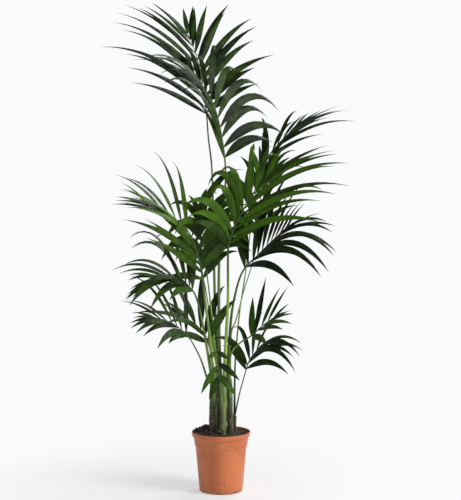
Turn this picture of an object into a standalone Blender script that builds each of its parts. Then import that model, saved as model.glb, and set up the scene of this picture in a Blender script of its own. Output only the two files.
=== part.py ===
"""Potted kentia palm: five seedlings grown together in one thin plastic nursery pot.

The origin is the centre of the pot's underside, +Z is up and -Y is the front.
"""

import math
from typing import NamedTuple

import bmesh
import bpy
from mathutils import Vector
from mathutils.bvhtree import BVHTree

# Pot
POT_HEIGHT = 0.213
RIM_RADIUS = 0.105
FOOT_RADIUS = 0.0775
POT_WALL = 0.0015
POT_FLOOR = 0.0025
LIP_HEIGHT = 0.016
LIP_OVERHANG = 0.0045
COLLAR_HEIGHT = 0.034
COLLAR_OVERHANG = 0.0025
FOOT_BEVEL = 0.003
DRAIN_SLOTS = 8
DRAIN_WIDTH = 0.018
DRAIN_HEIGHT = 0.006
DRAIN_REACH = 0.012
DRAIN_TURN = math.radians(-95)
TURNED_STEPS = 36
SHARP_EDGE = math.radians(25)

# Soil
WATERING_SPACE = 0.007
MOUND_HEIGHT = 0.012
MOUND_RADIUS = 0.055
MOUND_CENTRE = Vector((-0.045, 0.02))
MOUND_EDGE = 0.035
SOIL_RINGS = 4

# Fits
GAP = 0.0003
WELD = 0.00001
POCKET_DEPTH = 0.025
STEM_DEPTH = 0.045
PASSING_SPACE = 0.0015

# Leaflets
LEAFLET_THICKNESS = 0.0008
LEAFLET_STATIONS = (0.0, 0.13, 0.36, 0.68, 1.0)
WIDEST_AT = 0.36
ROOT_WIDTH = 0.12
DROOP_GROWTH = 1.3
LONGEST_AT = 0.35
FIRST_LENGTH = 0.75
LAST_LENGTH = 0.42
STAGGER = 0.25
TIP_NARROWING = 0.35
WOBBLE_TURNS = (2.4, 1.1, 3.0)
WOBBLE_ANGLE = 5
WOBBLE_LENGTH = 0.10
LEVELLING = 0.6

# Stalks and stems
END_RADIUS = 0.0010
STALK_TAPER = 1.5
STALK_SIDES = 6
STEM_SIDES = 12
ROUTE_STEPS = 2

# Turns and lifts, in degrees, that a leaflet may take to pass clear of another
OWN_STATION = 2
SWINGS = (0, 4, 8, 12, 16, 20, 25, 30, 36, 42)
SWING_WAYS = ((1, 0), (-1, 0), (0, 1), (0, -1), (0.7, 0.7), (0.7, -0.7), (-0.7, 0.7), (-0.7, -0.7))

DOWN = Vector((0, 0, -1))

GREEN_DARK = (0.016, 0.052, 0.014)
GREEN_MID = (0.030, 0.095, 0.016)
GREEN_LIGHT = (0.075, 0.230, 0.020)
BARK = (0.050, 0.048, 0.024)
STALK_GREEN = (0.120, 0.220, 0.040)
TERRACOTTA = (0.480, 0.140, 0.056)
COMPOST = (0.018, 0.012, 0.009)


class Stem(NamedTuple):
    """A seedling's sheathed base, from its foot in the soil to the crown that its fronds leave."""

    name: str
    foot: tuple
    crown: tuple
    foot_radius: float
    crown_radius: float
    ring: float


class Side(NamedTuple):
    """Leaflets along one side of a frond: spread in degrees at its foot and tip, level 1 faces the sky."""

    longest: float
    widest: float
    spread: tuple
    lift: float
    droop: float
    level: float


class Frond(NamedTuple):
    """One whole frond: a stalk along route, leaflets in pairs from route point blade on."""

    name: str
    stem: str
    seat: float
    stalk_radius: float
    route: tuple
    blade: int
    facing: tuple
    pairs: int
    left: Side
    right: Side
    colour: tuple


STEMS = (
    Stem("stem_left", (-0.029, -0.008), (-0.029, -0.012, 0.385), 0.0165, 0.0120, 0.0068),
    Stem("stem_back", (-0.006, 0.034), (-0.010, 0.036, 0.440), 0.0130, 0.0115, 0.0065),
    Stem("stem_front", (0.008, -0.036), (0.009, -0.040, 0.330), 0.0105, 0.0105, 0.0055),
    Stem("stem_right", (0.034, -0.004), (0.030, -0.006, 0.400), 0.0135, 0.0105, 0.0058),
    Stem("stem_slim", (0.046, 0.030), (0.049, 0.030, 0.262), 0.0080, 0.0075, 0.0040),
)

FRONDS = (
    Frond(
        "frond_top", "stem_back", 90, 0.0042,
        ((-0.018, 0.050, 0.536), (-0.026, 0.075, 0.817), (-0.030, 0.100, 1.042),
         (-0.035, 0.120, 1.169), (-0.047, 0.135, 1.268), (-0.054, 0.148, 1.357),
         (-0.067, 0.165, 1.454), (-0.082, 0.183, 1.536), (-0.100, 0.205, 1.598),
         (-0.125, 0.235, 1.661)),
        5, (0.25, -0.75, 0.60), 12,
        Side(0.40, 0.030, (54, 24), 12, 0.7, 0.25), Side(0.31, 0.031, (54, 14), 12, 0.6, 0.05), GREEN_MID,
    ),
    Frond(
        "frond_high", "stem_back", 0, 0.0046,
        ((-0.007, 0.035, 0.537), (-0.007, 0.045, 0.818), (0.007, 0.055, 0.988),
         (0.016, 0.060, 1.106), (0.014, 0.060, 1.186), (0.003, 0.062, 1.265),
         (-0.011, 0.068, 1.337), (-0.033, 0.078, 1.399), (-0.062, 0.095, 1.447),
         (-0.099, 0.115, 1.485)),
        4, (0.40, -0.55, 0.70), 10,
        Side(0.42, 0.028, (24, 32), 20, 1.2, 0.25), Side(0.30, 0.037, (50, 12), 20, 1.5, 0.00), GREEN_DARK,
    ),
    Frond(
        "frond_left_upper", "stem_left", 290, 0.0042,
        ((-0.039, -0.020, 0.544), (-0.056, -0.035, 0.688), (-0.067, -0.045, 0.788),
         (-0.091, -0.060, 0.877), (-0.111, -0.075, 0.927), (-0.148, -0.100, 0.969),
         (-0.195, -0.130, 1.004), (-0.248, -0.165, 1.028)),
        2, (0.22, -0.62, 0.75), 12,
        Side(0.42, 0.030, (46, 20), 20, 0.4, 0.10), Side(0.30, 0.036, (50, 18), 30, 1.0, 0.05), GREEN_MID,
    ),
    Frond(
        "frond_centre", "stem_front", 20, 0.0048,
        ((0.011, -0.040, 0.386), (0.018, -0.050, 0.548), (0.025, -0.060, 0.690),
         (0.025, -0.065, 0.825), (0.027, -0.070, 0.881), (0.043, -0.075, 0.934),
         (0.071, -0.080, 0.993), (0.102, -0.085, 1.049), (0.137, -0.090, 1.098),
         (0.178, -0.100, 1.132)),
        4, (-0.30, -0.80, 0.50), 12,
        Side(0.24, 0.035, (42, 20), 32, 1.5, 0.15), Side(0.45, 0.028, (50, 10), 16, 0.7, 0.10), GREEN_LIGHT,
    ),
    Frond(
        "frond_left_centre", "stem_back", 235, 0.0032,
        ((-0.025, 0.015, 0.540), (-0.039, 0.010, 0.684), (-0.050, 0.005, 0.774),
         (-0.059, 0.000, 0.825), (-0.062, -0.008, 0.879), (-0.066, -0.016, 0.936),
         (-0.076, -0.024, 0.989)),
        3, (0.30, -0.85, 0.35), 6,
        Side(0.25, 0.036, (44, 18), 36, 1.8, 0.10), Side(0.25, 0.036, (44, 18), 36, 1.8, 0.10), GREEN_DARK,
    ),
    Frond(
        "frond_right_back", "stem_right", 60, 0.0026,
        ((0.036, 0.020, 0.557), (0.054, 0.030, 0.610), (0.083, 0.045, 0.717),
         (0.115, 0.060, 0.818), (0.134, 0.075, 0.904), (0.141, 0.090, 0.987),
         (0.145, 0.105, 1.071), (0.153, 0.120, 1.144)),
        4, (-0.30, -0.80, 0.50), 6,
        Side(0.24, 0.032, (34, 10), 14, 1.0, 0.15), Side(0.28, 0.030, (34, 10), 14, 1.2, 0.15), GREEN_MID,
    ),
    Frond(
        "frond_right_top", "stem_slim", 100, 0.0030,
        ((0.050, 0.030, 0.429), (0.057, 0.045, 0.536), (0.068, 0.060, 0.643),
         (0.079, 0.070, 0.715), (0.094, 0.090, 0.816), (0.109, 0.115, 0.950),
         (0.128, 0.140, 1.071), (0.161, 0.165, 1.182), (0.217, 0.180, 1.256),
         (0.270, 0.190, 1.306)),
        7, (-0.45, -0.60, 0.65), 7,
        Side(0.20, 0.022, (30, 8), 14, 0.9, 0.20), Side(0.33, 0.028, (44, 12), 14, 0.7, 0.10), GREEN_DARK,
    ),
    Frond(
        "frond_right_inner", "stem_right", 180, 0.0040,
        ((0.029, -0.005, 0.524), (0.039, -0.015, 0.644), (0.061, -0.030, 0.748),
         (0.085, -0.040, 0.802), (0.124, -0.055, 0.842), (0.158, -0.075, 0.878),
         (0.189, -0.100, 0.910), (0.219, -0.125, 0.935)),
        3, (-0.30, -0.60, 0.75), 10,
        Side(0.30, 0.040, (54, 18), 40, 0.9, 0.00), Side(0.50, 0.030, (50, 10), 24, 1.0, 0.10), GREEN_DARK,
    ),
    Frond(
        "frond_left_lower", "stem_left", 110, 0.0036,
        ((-0.044, -0.010, 0.473), (-0.064, -0.032, 0.599), (-0.081, -0.045, 0.679),
         (-0.098, -0.060, 0.722), (-0.129, -0.080, 0.752), (-0.166, -0.105, 0.768),
         (-0.209, -0.135, 0.770)),
        3, (0.25, -0.60, 0.75), 10,
        Side(0.34, 0.031, (46, 12), 24, 0.9, 0.05), Side(0.27, 0.034, (54, 16), 30, 1.3, 0.05), GREEN_DARK,
    ),
    Frond(
        "frond_left_lowest", "stem_left", 200, 0.0030,
        ((-0.050, -0.034, 0.413), (-0.067, -0.046, 0.468), (-0.088, -0.060, 0.517),
         (-0.118, -0.085, 0.569), (-0.169, -0.120, 0.615), (-0.222, -0.155, 0.636)),
        3, (0.30, -0.60, 0.75), 7,
        Side(0.26, 0.028, (46, 12), 20, 0.8, 0.05), Side(0.24, 0.028, (46, 12), 24, 0.9, 0.05), GREEN_DARK,
    ),
    Frond(
        "frond_left_young", "stem_back", 165, 0.0030,
        ((-0.030, 0.042, 0.521), (-0.042, 0.040, 0.630), (-0.054, 0.036, 0.713),
         (-0.063, 0.030, 0.757), (-0.073, 0.022, 0.783)),
        3, (0.15, -0.90, 0.30), 2,
        Side(0.26, 0.030, (50, 25), 14, 1.3, 0.40), Side(0.26, 0.030, (50, 25), 14, 1.3, 0.40), GREEN_MID,
    ),
    Frond(
        "frond_left_dark", "stem_left", 20, 0.0032,
        ((-0.026, 0.003, 0.427), (-0.033, 0.006, 0.477), (-0.046, 0.008, 0.530),
         (-0.065, 0.010, 0.569), (-0.097, 0.020, 0.597), (-0.133, 0.030, 0.614)),
        2, (0.35, -0.60, 0.70), 6,
        Side(0.27, 0.032, (52, 12), 22, 0.8, 0.20), Side(0.24, 0.034, (52, 12), 22, 0.8, 0.10), GREEN_DARK,
    ),
    Frond(
        "frond_low_front", "stem_front", 215, 0.0034,
        ((0.000, -0.050, 0.375), (-0.006, -0.060, 0.420), (-0.011, -0.068, 0.465),
         (-0.013, -0.080, 0.510)),
        1, (0.10, -0.95, 0.25), 3,
        Side(0.12, 0.027, (138, 112), 26, 0.5, 0.00), Side(0.12, 0.027, (138, 112), 26, 0.5, 0.00), GREEN_MID,
    ),
    Frond(
        "frond_right_low", "stem_right", 290, 0.0032,
        ((0.029, -0.018, 0.430), (0.037, -0.024, 0.498), (0.068, -0.030, 0.535),
         (0.107, -0.040, 0.561), (0.145, -0.055, 0.598), (0.185, -0.075, 0.630)),
        3, (-0.28, -0.65, 0.75), 5,
        Side(0.19, 0.028, (56, 10), 26, 0.4, 0.20), Side(0.19, 0.028, (56, 10), 26, 0.5, 0.20), GREEN_MID,
    ),
    Frond(
        "frond_right_droop", "stem_slim", 280, 0.0022,
        ((0.054, 0.024, 0.285), (0.068, 0.015, 0.352), (0.090, 0.005, 0.433),
         (0.104, -0.005, 0.474), (0.128, -0.020, 0.505), (0.160, -0.040, 0.519)),
        2, (-0.20, -0.60, 0.80), 7,
        Side(0.18, 0.028, (44, 12), 30, 1.2, 0.15), Side(0.34, 0.024, (44, 10), 24, 1.2, 0.10), GREEN_MID,
    ),
)


def clear_scene():
    for obj in list(bpy.data.objects):
        bpy.data.objects.remove(obj, do_unlink=True)


def collection(name):
    made = bpy.data.collections.new(name)
    bpy.context.scene.collection.children.link(made)
    return made


def material(name, colour, roughness, metallic=0.0):
    made = bpy.data.materials.new(name)
    made.use_nodes = True
    shader = made.node_tree.nodes["Principled BSDF"]
    shader.inputs["Base Color"].default_value = (*colour, 1.0)
    shader.inputs["Roughness"].default_value = roughness
    shader.inputs["Metallic"].default_value = metallic
    made.diffuse_color = (*colour, 1.0)
    return made


def add_object(name, mesh, home, finish=None):
    obj = bpy.data.objects.new(name, mesh)
    home.objects.link(obj)
    if finish:
        mesh.materials.append(finish)
    return obj


def as_cutter(obj):
    obj.hide_render = True
    obj.display_type = "WIRE"
    return obj


def add_boolean(obj, other, operation, solver="EXACT"):
    cut = obj.modifiers.new(other.name, "BOOLEAN")
    cut.operation = operation
    cut.object = other
    cut.solver = solver


def apply_modifiers(obj):
    """Replaces the object's mesh with the one that its modifiers make."""
    bpy.context.view_layer.update()
    graph = bpy.context.evaluated_depsgraph_get()
    mesh = bpy.data.meshes.new_from_object(obj.evaluated_get(graph))
    obj.modifiers.clear()
    obj.data = mesh


def turned(name, profile, home, finish=None):
    """A closed solid turned about Z from (radius, height) points that run down its outer side."""
    mesh = bpy.data.meshes.new(name)
    edges = [(i, i + 1) for i in range(len(profile) - 1)]
    mesh.from_pydata([(radius, 0, height) for radius, height in profile], edges, [])
    obj = add_object(name, mesh, home, finish)
    screw = obj.modifiers.new("Turn", "SCREW")
    screw.steps = TURNED_STEPS
    screw.render_steps = TURNED_STEPS
    screw.use_merge_vertices = True
    screw.merge_threshold = WELD
    return obj


# Pot and soil


def pot_outline():
    """Outer (radius, height) points of the pot, from the rim down to the foot."""
    lip = POT_HEIGHT - LIP_HEIGHT
    collar = lip - COLLAR_HEIGHT
    lip_taper = (RIM_RADIUS - FOOT_RADIUS) / POT_HEIGHT
    collar_radius = RIM_RADIUS - LIP_OVERHANG - lip_taper * LIP_HEIGHT
    body_radius = collar_radius - COLLAR_OVERHANG - lip_taper * COLLAR_HEIGHT
    return [
        (RIM_RADIUS, POT_HEIGHT),
        (RIM_RADIUS - lip_taper * LIP_HEIGHT, lip),
        (collar_radius, lip - LIP_OVERHANG / 2),
        (collar_radius - lip_taper * COLLAR_HEIGHT, collar),
        (body_radius, collar - COLLAR_OVERHANG / 2),
        (FOOT_RADIUS, FOOT_BEVEL),
        (FOOT_RADIUS - FOOT_BEVEL, 0),
    ]


def hollow_outline(space=0.0):
    """The pot's inside from its rim down, drawn in by space all over."""
    inside = [(radius - POT_WALL - space, height) for radius, height in pot_outline()[:-1]]
    floor = POT_FLOOR + space
    return inside[:-1] + [(inside[-1][0], floor)]


def make_pot(home, cutters):
    finish = material("terracotta plastic", TERRACOTTA, 0.55)
    outside = pot_outline()
    inside = list(reversed(hollow_outline()))
    profile = [(0, POT_FLOOR)] + inside + outside + [(0, 0)]
    pot = turned("pot", profile, home, finish)
    apply_modifiers(pot)
    pot.data.set_sharp_from_angle(angle=SHARP_EDGE)
    for index in range(DRAIN_SLOTS):
        turn = DRAIN_TURN + index * math.tau / DRAIN_SLOTS
        cutter = drain_cutter(f"drain_{index + 1}", turn, cutters)
        add_boolean(pot, cutter, "DIFFERENCE")
    return pot


def drain_cutter(name, turn, cutters):
    """A box through the corner where the pot's wall meets its floor."""
    mesh = bpy.data.meshes.new(name)
    shape = bmesh.new()
    bmesh.ops.create_cube(shape, size=1.0)
    bmesh.ops.scale(shape, vec=(DRAIN_REACH, DRAIN_WIDTH, 2 * DRAIN_HEIGHT), verts=shape.verts)
    shape.to_mesh(mesh)
    shape.free()
    cutter = as_cutter(add_object(name, mesh, cutters))
    cutter.location = (FOOT_RADIUS * math.cos(turn), FOOT_RADIUS * math.sin(turn), 0)
    cutter.rotation_euler.z = turn
    return cutter


def soil_level():
    return POT_HEIGHT - WATERING_SPACE


def mound(x, y):
    """Height of the heaped soil above its level, falling to nothing at the pot's wall."""
    away = (Vector((x, y)) - MOUND_CENTRE).length / MOUND_RADIUS
    edge = min(1.0, max(0.0, (RIM_RADIUS - math.hypot(x, y)) / MOUND_EDGE))
    return MOUND_HEIGHT * math.exp(-away * away) * edge


def make_soil(home, cutters):
    finish = material("compost", COMPOST, 0.95)
    level = soil_level()
    wall = hollow_outline(GAP)
    upper = [point for point in wall if point[1] >= level][-1]
    lower = [point for point in wall if point[1] < level]
    share = (level - lower[0][1]) / (upper[1] - lower[0][1])
    rim = lower[0][0] + share * (upper[0] - lower[0][0])
    top = [(rim * ring / SOIL_RINGS, level) for ring in range(SOIL_RINGS + 1)]
    soil = turned("soil", top + lower + [(0, POT_FLOOR + GAP)], home, finish)
    apply_modifiers(soil)
    for vertex in soil.data.vertices:
        if abs(vertex.co.z - level) < GAP:
            vertex.co.z += mound(vertex.co.x, vertex.co.y)
    for stem in STEMS:
        cutter = stem_tube("pocket_" + stem.name, stem, cutters, GAP, POCKET_DEPTH)
        add_boolean(soil, as_cutter(cutter), "DIFFERENCE")
    return soil


# Stems and stalks


def smooth_route(points, steps):
    """Points along a Catmull-Rom curve through the given points, steps to each stretch."""
    guide = [Vector(point) for point in points]
    guide = [2 * guide[0] - guide[1]] + guide + [2 * guide[-1] - guide[-2]]
    route = []
    for i in range(1, len(guide) - 2):
        a, b, c, d = guide[i - 1 : i + 3]
        for step in range(steps):
            t = step / steps
            route.append(
                0.5
                * (
                    2 * b
                    + (c - a) * t
                    + (2 * a - 5 * b + 4 * c - d) * t * t
                    + (3 * b - a - 3 * c + d) * t * t * t
                )
            )
    return route + [guide[-2]]


def tube(name, route, radii, home, sides):
    """A closed round rod along route, made as a curve and turned into a welded mesh."""
    curve = bpy.data.curves.new(name, "CURVE")
    curve.dimensions = "3D"
    curve.bevel_depth = 1.0
    curve.bevel_resolution = (sides - 4) // 2
    curve.use_fill_caps = True
    spline = curve.splines.new("POLY")
    spline.points.add(len(route) - 1)
    for place, point, radius in zip(spline.points, route, radii):
        place.co = (*point, 1.0)
        place.radius = radius
    guide = bpy.data.objects.new(name, curve)
    home.objects.link(guide)
    bpy.context.view_layer.update()
    graph = bpy.context.evaluated_depsgraph_get()
    mesh = bpy.data.meshes.new_from_object(guide.evaluated_get(graph))
    mesh.shade_smooth()
    place = guide.matrix_world.copy()
    bpy.data.objects.remove(guide, do_unlink=True)
    shape = bmesh.new()
    shape.from_mesh(mesh)
    bmesh.ops.remove_doubles(shape, verts=shape.verts, dist=WELD)
    bmesh.ops.recalc_face_normals(shape, faces=shape.faces)
    shape.to_mesh(mesh)
    shape.free()
    obj = bpy.data.objects.new(name, mesh)
    home.objects.link(obj)
    obj.matrix_world = place
    return obj


def stem_ends(stem):
    foot = Vector((*stem.foot, soil_level() - STEM_DEPTH))
    return foot, Vector(stem.crown)


def stem_tube(name, stem, home, space=0.0, beyond=0.0):
    """The stem's own shape, or with space its pocket in the soil, open at the top."""
    foot, crown = stem_ends(stem)
    along = (crown - foot).normalized()
    if beyond:
        level = foot + along * (STEM_DEPTH + MOUND_HEIGHT + beyond)
        share = (level - foot).length / (crown - foot).length
        end_radius = stem.foot_radius + share * (stem.crown_radius - stem.foot_radius)
        route = [foot - along * space, level]
        radii = [stem.foot_radius + space, end_radius + space]
    else:
        route = [foot, crown]
        radii = [stem.foot_radius, stem.crown_radius]
    return tube(name, route, radii, home, STEM_SIDES)


def stem_of(frond):
    return next(stem for stem in STEMS if stem.name == frond.stem)


def stalk_route(frond):
    """The frond's smoothed route from its seat in the crown, and the point where its blade starts."""
    stem = stem_of(frond)
    foot, crown = stem_ends(stem)
    along = (crown - foot).normalized()
    turn = math.radians(frond.seat)
    start = crown + stem.ring * Vector((math.cos(turn), math.sin(turn), 0))
    points = [start - along * POCKET_DEPTH, start] + [Vector(point) for point in frond.route]
    return smooth_route(points, ROUTE_STEPS), ROUTE_STEPS * (2 + frond.blade)


def make_stems(home, cutters):
    finish = material("sheath", BARK, 0.8)
    made = {}
    for stem in STEMS:
        obj = stem_tube(stem.name, stem, home)
        obj.data.materials.append(finish)
        made[stem.name] = obj
    return made


# Fronds


def leaflet_width(share, widest):
    """Width of a leaflet at a share of its length: quick to its widest, then a long taper."""
    if share < WIDEST_AT:
        opened = math.sin(math.pi / 2 * share / WIDEST_AT)
        return widest * (ROOT_WIDTH + (1 - ROOT_WIDTH) * opened)
    return widest * math.cos(math.pi / 2 * (share - WIDEST_AT) / (1 - WIDEST_AT))


def leaflet_sections(root, heading, face, length, widest, droop, stations=LEAFLET_STATIONS):
    """(centre, across, face, width) at each station, as the leaflet bends under its weight."""
    sections = []
    centre = root.copy()
    level = face.lerp(-DOWN, LEVELLING)
    for index, share in enumerate(stations):
        if index:
            middle = (share + stations[index - 1]) / 2
            step = (share - stations[index - 1]) * length
            bent = (heading + DOWN * droop * middle**DROOP_GROWTH).normalized()
            centre = centre + bent * step
        along = (heading + DOWN * droop * share**DROOP_GROWTH).normalized()
        turned_face = face.lerp(level, share)
        upward = (turned_face - along * turned_face.dot(along)).normalized()
        across = along.cross(upward)
        sections.append((centre, across, upward, leaflet_width(share, widest)))
    return sections


def leaflet_object(name, sections, home):
    """One closed leaflet: a thin section, thickest at its rib, carried from root to tip."""
    shape = bmesh.new()
    rows = []
    for centre, across, upward, width in sections[:-1]:
        half = across * width / 2
        ridge = upward * LEAFLET_THICKNESS
        corners = (centre - half, centre + ridge, centre + half, centre)
        rows.append([shape.verts.new(corner) for corner in corners])
    tip = shape.verts.new(sections[-1][0])
    faces = [shape.faces.new(rows[0])]
    for near, far in zip(rows, rows[1:]):
        left, top, right, under = near
        far_left, far_top, far_right, far_under = far
        # Face and back are split along the same diagonals, so a twisted leaflet keeps its thickness.
        for ridge, far_ridge in ((top, far_top), (under, far_under)):
            faces.append(shape.faces.new((left, ridge, far_ridge)))
            faces.append(shape.faces.new((left, far_ridge, far_left)))
            faces.append(shape.faces.new((ridge, right, far_right)))
            faces.append(shape.faces.new((ridge, far_right, far_ridge)))
    for k in range(4):
        faces.append(shape.faces.new((rows[-1][k], rows[-1][(k + 1) % 4], tip)))
    bmesh.ops.recalc_face_normals(shape, faces=faces)
    mesh = bpy.data.meshes.new(name)
    shape.to_mesh(mesh)
    shape.free()
    return as_cutter(add_object(name, mesh, home))


def passing_strip(sections, space, first=0):
    """Vertices and faces of the leaflet's strip from station first on, with space round it."""
    points = []
    faces = []
    for centre, across, upward, width in sections[first:]:
        half = across * (width / 2 + space)
        rise = upward * (space + LEAFLET_THICKNESS)
        low = centre - rise
        high = centre + rise
        points += [low - half, low + half, high + half, high - half]
    for row in range(len(sections) - first - 1):
        near = 4 * row
        for k in range(4):
            m = (k + 1) % 4
            faces.append((near + k, near + m, near + 4 + m, near + 4 + k))
    return points, faces


class Surroundings:
    """What a new leaflet must pass clear of: stalks, stems, and leaflets already in place."""

    def __init__(self):
        self.trees = []

    def add(self, owner, points, faces):
        self.trees.append((owner, BVHTree.FromPolygons(points, faces)))

    def add_mesh(self, obj):
        points = [obj.matrix_world @ vertex.co for vertex in obj.data.vertices]
        self.add(obj.name, points, [tuple(face.vertices) for face in obj.data.polygons])

    def crossings(self, owner, sections):
        """Crossings with other pieces, from the root on, and with the same frond's leaflets."""
        whole = BVHTree.FromPolygons(*passing_strip(sections, PASSING_SPACE))
        outer = BVHTree.FromPolygons(*passing_strip(sections, PASSING_SPACE, OWN_STATION))
        own = "leaflets_" + owner
        found = sum(len(outer.overlap(tree)) for name, tree in self.trees if name == own)
        return found + sum(
            len(whole.overlap(tree)) for name, tree in self.trees if name not in (own, owner)
        )


def blade_frame(route, index, facing):
    """Tangent, face and side of the blade at a point of its route."""
    before = route[max(0, index - 1)]
    after = route[min(len(route) - 1, index + 1)]
    along = (after - before).normalized()
    face = (facing - along * facing.dot(along)).normalized()
    return along, face, along.cross(face)


def along_route(route, start, share):
    """The index and point at a share of the way from point start to the route's end."""
    lengths = [0.0]
    for near, far in zip(route[start:], route[start + 1 :]):
        lengths.append(lengths[-1] + (far - near).length)
    goal = share * lengths[-1]
    for k in range(1, len(lengths)):
        if lengths[k] >= goal or k == len(lengths) - 1:
            part = (goal - lengths[k - 1]) / (lengths[k] - lengths[k - 1])
            near = route[start + k - 1]
            return start + k - 1, near.lerp(route[start + k], min(1.0, part))


def leaflet_growth(share):
    """Length of the leaflets along the rachis: the longest a third of the way up, short at its end."""
    if share < LONGEST_AT:
        return 1 - (1 - FIRST_LENGTH) * ((LONGEST_AT - share) / LONGEST_AT) ** 2
    return 1 - (1 - LAST_LENGTH) * ((share - LONGEST_AT) / (1 - LONGEST_AT)) ** 1.5


def leaflet_plan(frond, route, blade):
    """(root, heading, face, length, width, droop) of each leaflet, in pairs from the stalk up."""
    facing = Vector(frond.facing).normalized()
    plan = []
    for pair in range(frond.pairs):
        share = pair / (frond.pairs - 1)
        for side, own in ((-1, frond.left), (1, frond.right)):
            place = share + side * STAGGER / frond.pairs * (1 - share)
            index, root = along_route(route, blade, max(0.0, place))
            along, face, across = blade_frame(route, index, facing)
            wobble = math.sin(Vector(WOBBLE_TURNS).dot((pair, side, len(frond.name))))
            spread = own.spread[0] + (own.spread[1] - own.spread[0]) * share
            angle = math.radians(spread + WOBBLE_ANGLE * wobble)
            lift = math.radians(own.lift)
            outward = across * side * math.cos(lift) + face * math.sin(lift)
            heading = along * math.cos(angle) + outward * math.sin(angle)
            level = face.lerp(-DOWN, own.level)
            flat = (level - heading * level.dot(heading)).normalized()
            grown = leaflet_growth(share)
            length = own.longest * grown * (1 + WOBBLE_LENGTH * wobble)
            width = own.widest * (1 - TIP_NARROWING * share)
            plan.append((root, heading, flat, length, width, own.droop * grown))
    return plan


def settled_leaflet(surroundings, owner, root, heading, face, length, width, droop):
    """The leaflet's sections, swung from its heading just far enough to pass clear."""
    across = heading.cross(face)
    best = None
    for reach in SWINGS:
        for lift, swing in SWING_WAYS:
            tilt = math.tan(math.radians(reach))
            way = (heading + face * lift * tilt + across * swing * tilt).normalized()
            sections = leaflet_sections(root, way, face, length, width, droop)
            hits = surroundings.crossings(owner, sections)
            if best is None or hits < best[0]:
                best = (hits, sections)
            if hits == 0:
                return sections
    return best[1]


def make_fronds(home, cutters, stems):
    surroundings = Surroundings()
    for obj in stems.values():
        surroundings.add_mesh(obj)
    stalks = {}
    for frond in FRONDS:
        route, blade = stalk_route(frond)
        count = len(route)
        radii = [
            frond.stalk_radius + (END_RADIUS - frond.stalk_radius) * (k / (count - 1)) ** STALK_TAPER
            for k in range(count)
        ]
        stalk = tube(frond.name, route, radii, home, STALK_SIDES)
        surroundings.add_mesh(stalk)
        wider = [radius + GAP for radius in radii]
        pocket = tube("pocket_" + frond.name, pocket_route(route), wider, cutters, STALK_SIDES)
        add_boolean(stems[frond.stem], as_cutter(pocket), "DIFFERENCE")
        stalks[frond.name] = (stalk, route, blade)
    for frond in FRONDS:
        stalk, route, blade = stalks[frond.name]
        leaflets = bpy.data.collections.new("leaflets_" + frond.name)
        cutters.children.link(leaflets)
        for number, leaflet in enumerate(leaflet_plan(frond, route, blade)):
            sections = settled_leaflet(surroundings, frond.name, *leaflet)
            leaflet_object(f"{frond.name}_leaflet_{number + 1}", sections, leaflets)
            surroundings.add("leaflets_" + frond.name, *passing_strip(sections, 0.0, 1))
            surroundings.add(frond.name, *passing_strip(sections[:2], 0.0))
        stalk.data.materials.append(material(frond.name, frond.colour, 0.45))
        for leaflet in leaflets.objects:
            # EXACT loses whole leaflets where two of these thin roots meet inside the stalk.
            add_boolean(stalk, leaflet, "UNION", "MANIFOLD")


def pocket_route(route):
    """The stalk's route, begun a gap lower, for the pocket that it sits in."""
    lower = route[0] - (route[1] - route[0]).normalized() * GAP
    return [lower] + list(route[1:])


def main():
    clear_scene()
    home = collection("potted_palm")
    cutters = collection("cutters")
    make_pot(home, cutters)
    make_soil(home, cutters)
    stems = make_stems(home, cutters)
    make_fronds(home, cutters, stems)


main()
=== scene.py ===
import math
import random
from typing import NamedTuple

import bmesh
import bpy
from mathutils import Matrix, Vector, noise
from mathutils.bvhtree import BVHTree


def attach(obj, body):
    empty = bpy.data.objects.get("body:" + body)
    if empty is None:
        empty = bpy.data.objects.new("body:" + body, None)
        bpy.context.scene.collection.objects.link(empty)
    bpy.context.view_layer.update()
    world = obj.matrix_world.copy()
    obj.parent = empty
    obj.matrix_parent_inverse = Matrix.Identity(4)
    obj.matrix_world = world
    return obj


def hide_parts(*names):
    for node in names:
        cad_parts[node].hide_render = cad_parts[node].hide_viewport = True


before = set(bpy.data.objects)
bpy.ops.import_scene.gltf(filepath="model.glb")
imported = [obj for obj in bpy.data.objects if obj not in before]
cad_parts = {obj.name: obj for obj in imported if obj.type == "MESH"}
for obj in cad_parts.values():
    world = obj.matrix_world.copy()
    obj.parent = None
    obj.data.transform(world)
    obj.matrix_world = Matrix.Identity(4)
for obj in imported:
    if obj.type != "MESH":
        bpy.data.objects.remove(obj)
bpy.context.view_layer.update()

# Pot and compost, in metres
POT_ROUND = 128
DRAIN_SLOTS = 8
DRAIN_SIZE = (0.012, 0.018, 0.012)
DRAIN_TURN = math.radians(-95)
FOOT_RADIUS = 0.0775
SOIL_LEVEL = 0.206
SOIL_RADIUS = 0.1008
HEAP_CENTRE = (-0.045, 0.02)
HEAP_RADIUS = 0.055
HEAP_HEIGHT = 0.021
CRUMBS = 420
MERGE = 0.00001
STEM_DEPTH = 0.045
POCKET_DEPTH = 0.025

# Leaflets
SETTLING_STATIONS = (0.0, 0.13, 0.36, 0.68, 1.0)
LEAFLET_ROWS = 12
LEAFLET_THICKNESS = 0.0008
RIB_RISE = 0.075
WIDEST_AT = 0.36
ROOT_WIDTH = 0.12
DROOP_GROWTH = 1.3
LONGEST_AT = 0.35
FIRST_LENGTH = 0.75
LAST_LENGTH = 0.42
STAGGER = 0.25
TIP_NARROWING = 0.35
WOBBLE_TURNS = (2.4, 1.1, 3.0)
WOBBLE_ANGLE = 5
WOBBLE_LENGTH = 0.10
LEVELLING = 0.6
TWIST = math.radians(14)
PASSING_SPACE = 0.0015

# Stalks and stems
END_RADIUS = 0.0010
STALK_TAPER = 1.5
SETTLING_STEPS = 2
STALK_STEPS = 5

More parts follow.
